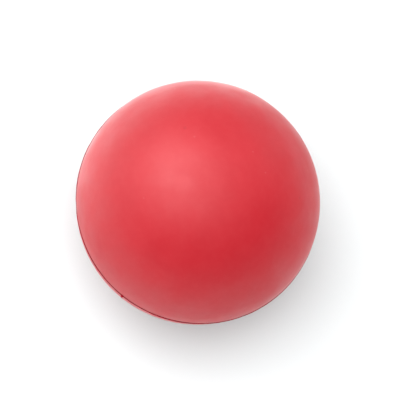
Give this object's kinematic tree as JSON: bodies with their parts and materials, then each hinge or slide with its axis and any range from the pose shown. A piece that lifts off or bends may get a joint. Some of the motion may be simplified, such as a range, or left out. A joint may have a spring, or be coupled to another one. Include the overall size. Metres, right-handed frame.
{
  "type": "stress ball",
  "caption": "Round squeezable foam stress ball with a soft-touch coating, a trimmed parting line round its equator and a small vent stub.",
  "frame": {"origin": "centre of the ball, on the mould's parting plane", "axes": "+Z along the direction in which the mould opens, through both poles; the parting line lies in the XY plane and the vent stub is in the +X -Y quadrant"},
  "size_m": [0.0632, 0.0632, 0.063],
  "materials": {
    "soft_touch_coat": "matte",
    "dense_skin": "matte",
    "core_foam": "matte",
    "flash": "matte"
  },
  "bodies": {
    "lower_half": {"coat_lower": "soft_touch_coat", "skin_lower": "dense_skin", "foam_core": "core_foam"},
    "parting_ring": {"parting_flash": "flash", "vent_stub": "flash"},
    "upper_half": {"coat_upper": "soft_touch_coat", "skin_upper": "dense_skin"}
  },
  "joints": [
    {"name": "squeeze", "type": "slide", "parent": "lower_half", "child": "upper_half", "axis": [0, 0, -1], "range_m": [0, 0.025], "stiffness_N_per_m": 3000, "deforming": ["coat_upper", "skin_upper", "coat_lower", "skin_lower", "foam_core"]},
    {"name": "ring_follow", "type": "slide", "parent": "lower_half", "child": "parting_ring", "axis": [0, 0, -1], "range_m": [0, 0.0125]}
  ],
  "couplings": [
    {"joint": "ring_follow", "follows": "squeeze", "ratio": 0.5}
  ]
}
